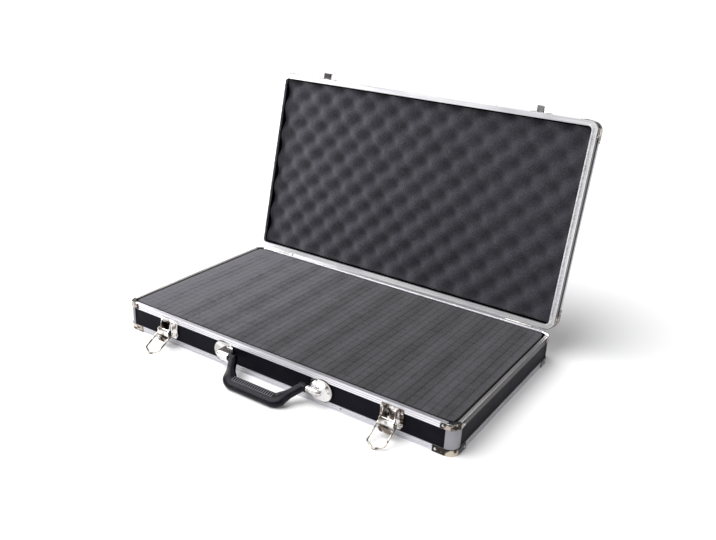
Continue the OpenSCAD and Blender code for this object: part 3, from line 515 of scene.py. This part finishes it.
def rivet(heads, points, node):
    # Adds a stud with a domed head, its shank and head as wide and long as the CAD one's
    centre = sum(points, Vector()) / len(points)
    axis = rivetAxis(points, centre, node)
    along = [(point - centre).dot(axis) for point in points]
    reaches = [offAxis(point, centre, axis) for point in points]
    radius, top, foot = max(reaches), max(along), min(along)
    seat = min(height for height, reach in zip(along, reaches) if reach > radius * rivetLook["seat"])
    rise, shank = (top - seat) * rivetLook["rise"], radius * rivetLook["shank"]
    profile = [(0, seat + rise)]
    for step in range(1, rivetLook["rings"] + 1):
        angle = math.pi / 2 * step / rivetLook["rings"]
        profile.append((radius * math.sin(angle), seat + rise * math.cos(angle)))
    profile += [(shank, seat), (shank, foot), (0, foot)]
    verts = [heads.verts.new((reach, 0, height)) for reach, height in profile]
    lines = [heads.edges.new(pair) for pair in zip(verts, verts[1:])]
    bmesh.ops.spin(heads, geom=verts + lines, cent=(0, 0, 0), axis=(0, 0, 1), dvec=(0, 0, 0),
                   angle=2 * math.pi, steps=rivetLook["segments"], use_merge=True,
                   use_normal_flip=False, use_duplicate=False)
    bmesh.ops.remove_doubles(heads, verts=untagged(heads), dist=rivetLook["weld"])
    turn = axis.to_track_quat("Z", "Y").to_matrix().to_4x4()
    new = untagged(heads)
    bmesh.ops.transform(heads, matrix=Matrix.Translation(centre) @ turn, verts=new)
    for vert in new:
        vert.tag = True


def domedRivets(node):
    source = welded(node)
    heads = bmesh.new()
    for points in islands(source):
        rivet(heads, points, node)
    source.free()
    bmesh.ops.recalc_face_normals(heads, faces=heads.faces)
    finished(heads, node, "rivet")


for node in sorted(nodes):
    if "rivets" in node:
        domedRivets(node)
print("rivets domed")


def closed(sheet, level):
    # Draws a sheet's open border out to a level and closes it there with one face
    drawn = bmesh.ops.extrude_edge_only(sheet, edges=[edge for edge in sheet.edges if edge.is_boundary])
    for item in drawn["geom"]:
        if isinstance(item, bmesh.types.BMVert):
            item.co.z = level
    bmesh.ops.contextual_create(sheet, geom=[edge for edge in sheet.edges if edge.is_boundary])


# The base foam: a block scored into small squares from above, on a plain pad
scored = {"slit": 0.22 * mm, "slitDepth": 3.0 * mm, "soften": 0.3 * mm, "softenDrop": 0.24 * mm,
          "corner": 6 * mm, "cornerSteps": 6, "fill": 0.9}


def scoredFoam():
    wide, deep = foamHigh.x - foamLow.x, foamHigh.y - foamLow.y
    foam = bmesh.new()
    bmesh.ops.create_grid(foam, x_segments=foamColumns, y_segments=round(deep / squareSize), size=0.5)
    bmesh.ops.scale(foam, vec=(wide, deep, 1), verts=foam.verts)
    tops = list(foam.faces)
    bmesh.ops.inset_individual(foam, faces=tops, thickness=scored["slit"] / 2, depth=0)
    bmesh.ops.inset_individual(foam, faces=tops, thickness=scored["soften"], depth=0)
    inner = {vert for face in tops for vert in face.verts}
    for vert in foam.verts:
        if vert in inner:
            continue
        beside = any(edge.other_vert(vert) in inner for edge in vert.link_edges)
        vert.co.z = -scored["softenDrop"] if beside else -scored["slitDepth"]
    for vert in foam.verts:  # the block's own corners are rounded
        centre = Vector([math.copysign(side / 2 - scored["corner"], vert.co[axis])
                         for axis, side in enumerate((wide, deep))])
        past = vert.co.xy - centre
        if past.x * centre.x > 0 and past.y * centre.y > 0 and past.length > scored["corner"]:
            vert.co.xy = centre + past.normalized() * scored["corner"]
    closed(foam, foamLow.z - foamHigh.z)
    middle = (foamLow + foamHigh) / 2
    bmesh.ops.translate(foam, vec=(middle.x, middle.y, foamHigh.z), verts=foam.verts)
    bmesh.ops.recalc_face_normals(foam, faces=foam.faces)
    piece = finished(foam, "base_foam", "baseFoam", "scoredFoam", smooth=False)


def plainPad():
    low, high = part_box("base_foam_pad")
    pad = bmesh.new()
    bmesh.ops.create_cube(pad, size=1)
    bmesh.ops.scale(pad, vec=high - low, verts=pad.verts)
    bmesh.ops.translate(pad, vec=(low + high) / 2, verts=pad.verts)
    uprights = [edge for edge in pad.edges
                if abs(edge.verts[0].co.z - edge.verts[1].co.z) > (high.z - low.z) / 2]
    bmesh.ops.bevel(pad, geom=uprights, offset=scored["corner"], offset_type="OFFSET",
                    segments=scored["cornerSteps"], profile=0.5, affect="EDGES", material=-1)
    piece = finished(pad, "base_foam_pad", "baseFoam", "foamPad", smooth=False)


scoredFoam()
plainPad()
print("base foam scored")


# The lid foam: humps and hollows in a chessboard, cut from a flat sheet. Steps is facets to a pitch,
# depth the share of the CAD relief, and above 1 the bluntness makes the humps broader
crate = {"pitchX": 47.2 * mm, "pitchY": 50.0 * mm, "steps": 18, "depth": 0.82, "bluntness": 1.15,
         "back": 0.1 * mm, "fill": 0.7}


def crateFoam():
    points = [shutLid @ vert.co for vert in nodes["lid_foam"].data.vertices]
    low = Vector([min(point[axis] for point in points) for axis in range(3)])
    high = Vector([max(point[axis] for point in points) for axis in range(3)])
    wide, deep = high.x - low.x, high.y - low.y
    relief = max(point.z for point in points if point.z < high.z - crate["back"]) - low.z
    wavesX, wavesY = wide / crate["pitchX"], deep / crate["pitchY"]
    foam = bmesh.new()
    bmesh.ops.create_grid(foam, x_segments=round(wavesX * crate["steps"]),
                          y_segments=round(wavesY * crate["steps"]), size=0.5)
    for vert in foam.verts:
        u, v = vert.co.x + 0.5, vert.co.y + 0.5
        wave = math.cos(2 * math.pi * u * wavesX) * math.cos(2 * math.pi * v * wavesY)
        hollow = ((1 - wave) / 2) ** crate["bluntness"]  # 0 at a hump's top, 1 in a hollow
        vert.co = Vector((low.x + u * wide, low.y + v * deep, low.z + relief * crate["depth"] * hollow))
    closed(foam, high.z)
    bmesh.ops.transform(foam, matrix=openLid, verts=foam.verts)
    bmesh.ops.recalc_face_normals(foam, faces=foam.faces)
    piece = finished(foam, "lid_foam", "lidFoam", "crateFoam")


crateFoam()
print("lid foam cut")


# The grip, in millimetres: a squarish oval swept down one arm, along the bar and up the other, with
# the comb sunk in its top. Broad is its half width in the plane of the sweep, thick its half height.
# A boss at the end of each arm takes the pin, and its rims are found by their angle, in radians
grip = {
    "armTop": 64.6, "drop": 36.0, "halfLength": 43.0, "bend": 13.0, "past": 5.4,
    "armBroad": 6.4, "barBroad": 10.7, "armThick": 6.0, "barThick": 6.75, "square": 0.82,
    "widenFrom": 0.45, "barFrom": 0.99, "capSteps": 6, "capLeast": 0.04, "armSteps": 11, "bendSteps": 14,
    "barStep": 0.475, "sides": 72,
    "combDepth": 1.7, "combSides": 1.2, "combEnds": 1.0, "ribHeight": 0.8, "ribWidth": 1.4,
    "bossRadius": 6.3, "bossInner": 59.4, "bossOuter": 72.4, "bossSides": 40, "bossEdge": 1.6,
    "bossSteps": 4, "bossSharp": 1.0, "weld": 0.01}


def gripPath():
    reach = Vector((grip["armTop"] - grip["halfLength"], grip["drop"]))
    turn = math.atan2(reach.x, reach.y)
    left = math.pi / 2 - turn
    back = grip["bend"] * math.tan(left / 2)
    armLength = reach.length - back
    # The arm starts past the pivot, where its end is rounded
    caps = range(grip["capSteps"], 0, -1)
    along = [-grip["past"] * math.sin(math.pi / 2 * k / grip["capSteps"]) for k in caps]
    along += [armLength * k / grip["armSteps"] for k in range(grip["armSteps"] + 1)]
    points = [(grip["armTop"] - s * math.sin(turn), s * math.cos(turn), turn) for s in along]
    for k in range(1, grip["bendSteps"] + 1):
        angle = turn + left * k / grip["bendSteps"]
        points.append((grip["halfLength"] - back + grip["bend"] * math.cos(angle),
                       grip["drop"] - grip["bend"] + grip["bend"] * math.sin(angle), angle))
    x = grip["halfLength"] - back
    count = 2 * round(x / grip["barStep"])
    bar = [(x - 2 * x * k / count, grip["drop"], math.pi / 2) for k in range(1, count)]
    mirrored = [(-px, py, math.pi - angle) for px, py, angle in reversed(points)]
    return points + bar + mirrored


def eased(t):
    t = min(1.0, max(0.0, t))
    return t * t * (3 - 2 * t)


def comb(x, down):
    # How far the top is sunk: a pocket with cross ribs
    inside = eased((combAt["half"] - abs(x)) / grip["combSides"])
    for depth in (down - combAt["from"], combAt["to"] - down):
        inside *= eased(depth / grip["combEnds"])
    rib = 0.5 + 0.5 * math.cos(2 * math.pi * x / combAt["pitch"])
    return grip["combDepth"] * inside * (1 - grip["ribHeight"] * eased(rib * grip["ribWidth"]))


def squared(value):
    return math.copysign(abs(value) ** grip["square"], value)


def gripPoint(spot, angle):
    px, py, turn = spot
    start = grip["drop"] * grip["widenFrom"]
    widen = eased((py - start) / start)
    cap = math.sqrt(max(grip["capLeast"], 1 - (py / grip["past"]) ** 2)) if py < 0 else 1.0
    broad = (grip["armBroad"] + widen * (grip["barBroad"] - grip["armBroad"])) * cap
    thick = (grip["armThick"] + widen * (grip["barThick"] - grip["armThick"])) * cap
    across, height = broad * squared(math.cos(angle)), thick * squared(math.sin(angle))
    x, down = px + across * math.cos(turn), py + across * math.sin(turn)
    if widen > grip["barFrom"] and height > 0:
        height -= comb(x, down)
    return Vector((x, -down, height)) * mm


def addBoss(shape, side):
    inner, outer, radius = (grip[key] * mm for key in ("bossInner", "bossOuter", "bossRadius"))
    boss = bmesh.ops.create_cone(shape, cap_ends=True, segments=grip["bossSides"], radius1=radius,
                                 radius2=radius, depth=outer - inner)["verts"]
    rims = [edge for edge in {edge for vert in boss for edge in vert.link_edges}
            if len(edge.link_faces) == 2 and edge.calc_face_angle(0) > grip["bossSharp"]]
    place = Matrix.Translation((side * (outer + inner) / 2, 0, 0)) @ Matrix.Rotation(math.pi / 2, 4, "Y")
    bmesh.ops.transform(shape, matrix=place, verts=boss)
    bmesh.ops.bevel(shape, geom=rims, offset=grip["bossEdge"] * mm, offset_type="OFFSET",
                    segments=grip["bossSteps"], profile=0.5, affect="EDGES", material=-1)


def sweptGrip():
    path, sides = gripPath(), grip["sides"]
    shape = bmesh.new()
    bmesh.ops.create_grid(shape, x_segments=len(path) - 1, y_segments=sides, size=0.5)
    for vert in shape.verts:
        spot = path[round((vert.co.x + 0.5) * (len(path) - 1))]
        vert.co = gripPoint(spot, 2 * math.pi * round((vert.co.y + 0.5) * sides) / sides)
    bmesh.ops.remove_doubles(shape, verts=shape.verts, dist=grip["weld"] * mm)
    bmesh.ops.edgeloop_fill(shape, edges=[edge for edge in shape.edges if edge.is_boundary])
    for side in (-1, 1):
        addBoss(shape, side)
    fall = Matrix.Translation(handleAt) @ Matrix.Rotation(gripFall, 4, "X")
    bmesh.ops.transform(shape, matrix=fall, verts=shape.verts)
    bmesh.ops.recalc_face_normals(shape, faces=shape.faces)
    evenShading(finished(shape, "handle_grip", "grip"))


sweptGrip()
print("grip swept")


# Camera at the photograph's place: degrees, millimetres, and the focal length in pixels
shot = {"azimuth": 32.353, "elevation": 22.380, "roll": 2.968, "place": (628.28, -934.98, 594.03),
        "focal": 776.65, "imageWidth": 716, "sensor": 36.0, "clip": (0.05, 100)}


def addCamera():
    azimuth, elevation, roll = (math.radians(shot[key]) for key in ("azimuth", "elevation", "roll"))
    level = Vector((math.cos(azimuth), math.sin(azimuth), 0))
    rise = Vector((-math.sin(azimuth) * math.sin(elevation), math.cos(azimuth) * math.sin(elevation),
                   math.cos(elevation)))
    right = level * math.cos(roll) + rise * math.sin(roll)
    up = rise * math.cos(roll) - level * math.sin(roll)
    camera = bpy.data.cameras.new("camera")
    camera.sensor_width = shot["sensor"]
    camera.lens = shot["focal"] / shot["imageWidth"] * shot["sensor"]
    camera.clip_start, camera.clip_end = shot["clip"]
    holder = bpy.data.objects.new("camera", camera)
    bpy.context.scene.collection.objects.link(holder)
    turn = Matrix((right, up, right.cross(up))).transposed().to_4x4()
    holder.matrix_world = Matrix.Translation(Vector(shot["place"]) * mm) @ turn
    bpy.context.scene.camera = holder


# Pale floor and soft studio light: a broad soft key for the floor, boxes for bright strips in the metal
studio = {"floorSize": 60.0, "floorColour": (0.97, 0.97, 0.975), "worldColour": (1, 1, 1), "world": 0.29,
          "keyStrength": 2.9, "keyAngle": 50.0, "keyFrom": (-0.45, -0.50, 1.0)}
softBoxes = {
    "leftBox": {"at": (-0.80, 0.0, 0.42), "size": (0.35, 0.7), "power": 6, "aim": (-0.2, 0.05, 0.05)},
    "frontBox": {"at": (-1.0, -1.6, 0.35), "size": (1.5, 0.6), "power": 2.8, "aim": (0, 0.1, 0.25)},
    "topBox": {"at": (0.2, 0.9, 2.0), "size": (1.8, 0.5), "power": 5, "aim": (0, 0.1, 0.1)},
    "rightBox": {"at": (2.2, -0.4, 1.2), "size": (0.4, 1.2), "power": 5, "aim": (1.2, 0, 0)}}


def addLamp(light, spot, aim):
    lamp = bpy.data.objects.new(light.name, light)
    bpy.context.scene.collection.objects.link(lamp)
    lamp.location = spot
    lamp.visible_camera = False
    lamp.rotation_mode = "QUATERNION"
    lamp.rotation_quaternion = (Vector(aim) - Vector(spot)).to_track_quat("-Z", "Y")


def addStudio():
    sheet = bmesh.new()
    bmesh.ops.create_grid(sheet, x_segments=1, y_segments=1, size=studio["floorSize"] / 2)
    mesh = bpy.data.meshes.new("floor")
    sheet.to_mesh(mesh)
    sheet.free()
    floor = bpy.data.objects.new("floor", mesh)
    bpy.context.scene.collection.objects.link(floor)
    paper = Finish("floorPaper", Roughness=1.0, Specular_IOR_Level=0.0,
                   Base_Color=(*studio["floorColour"], 1))
    mesh.materials.append(paper.material)
    world = bpy.data.worlds.new("studio")
    bpy.context.scene.world = world
    world.use_nodes = True
    background = world.node_tree.nodes["Background"]
    background.inputs["Color"].default_value = (*studio["worldColour"], 1)
    background.inputs["Strength"].default_value = studio["world"]
    key = bpy.data.lights.new("key", "SUN")
    key.energy = studio["keyStrength"]
    key.angle = math.radians(studio["keyAngle"])
    addLamp(key, studio["keyFrom"], (0, 0, 0))
    for name, box in softBoxes.items():
        light = bpy.data.lights.new(name, "AREA")
        light.shape = "RECTANGLE"
        light.size, light.size_y = box["size"]
        light.energy = box["power"]
        addLamp(light, box["at"], box["aim"])
    bpy.context.scene.view_settings.view_transform = "Standard"


addCamera()
addStudio()
print("camera and light placed")
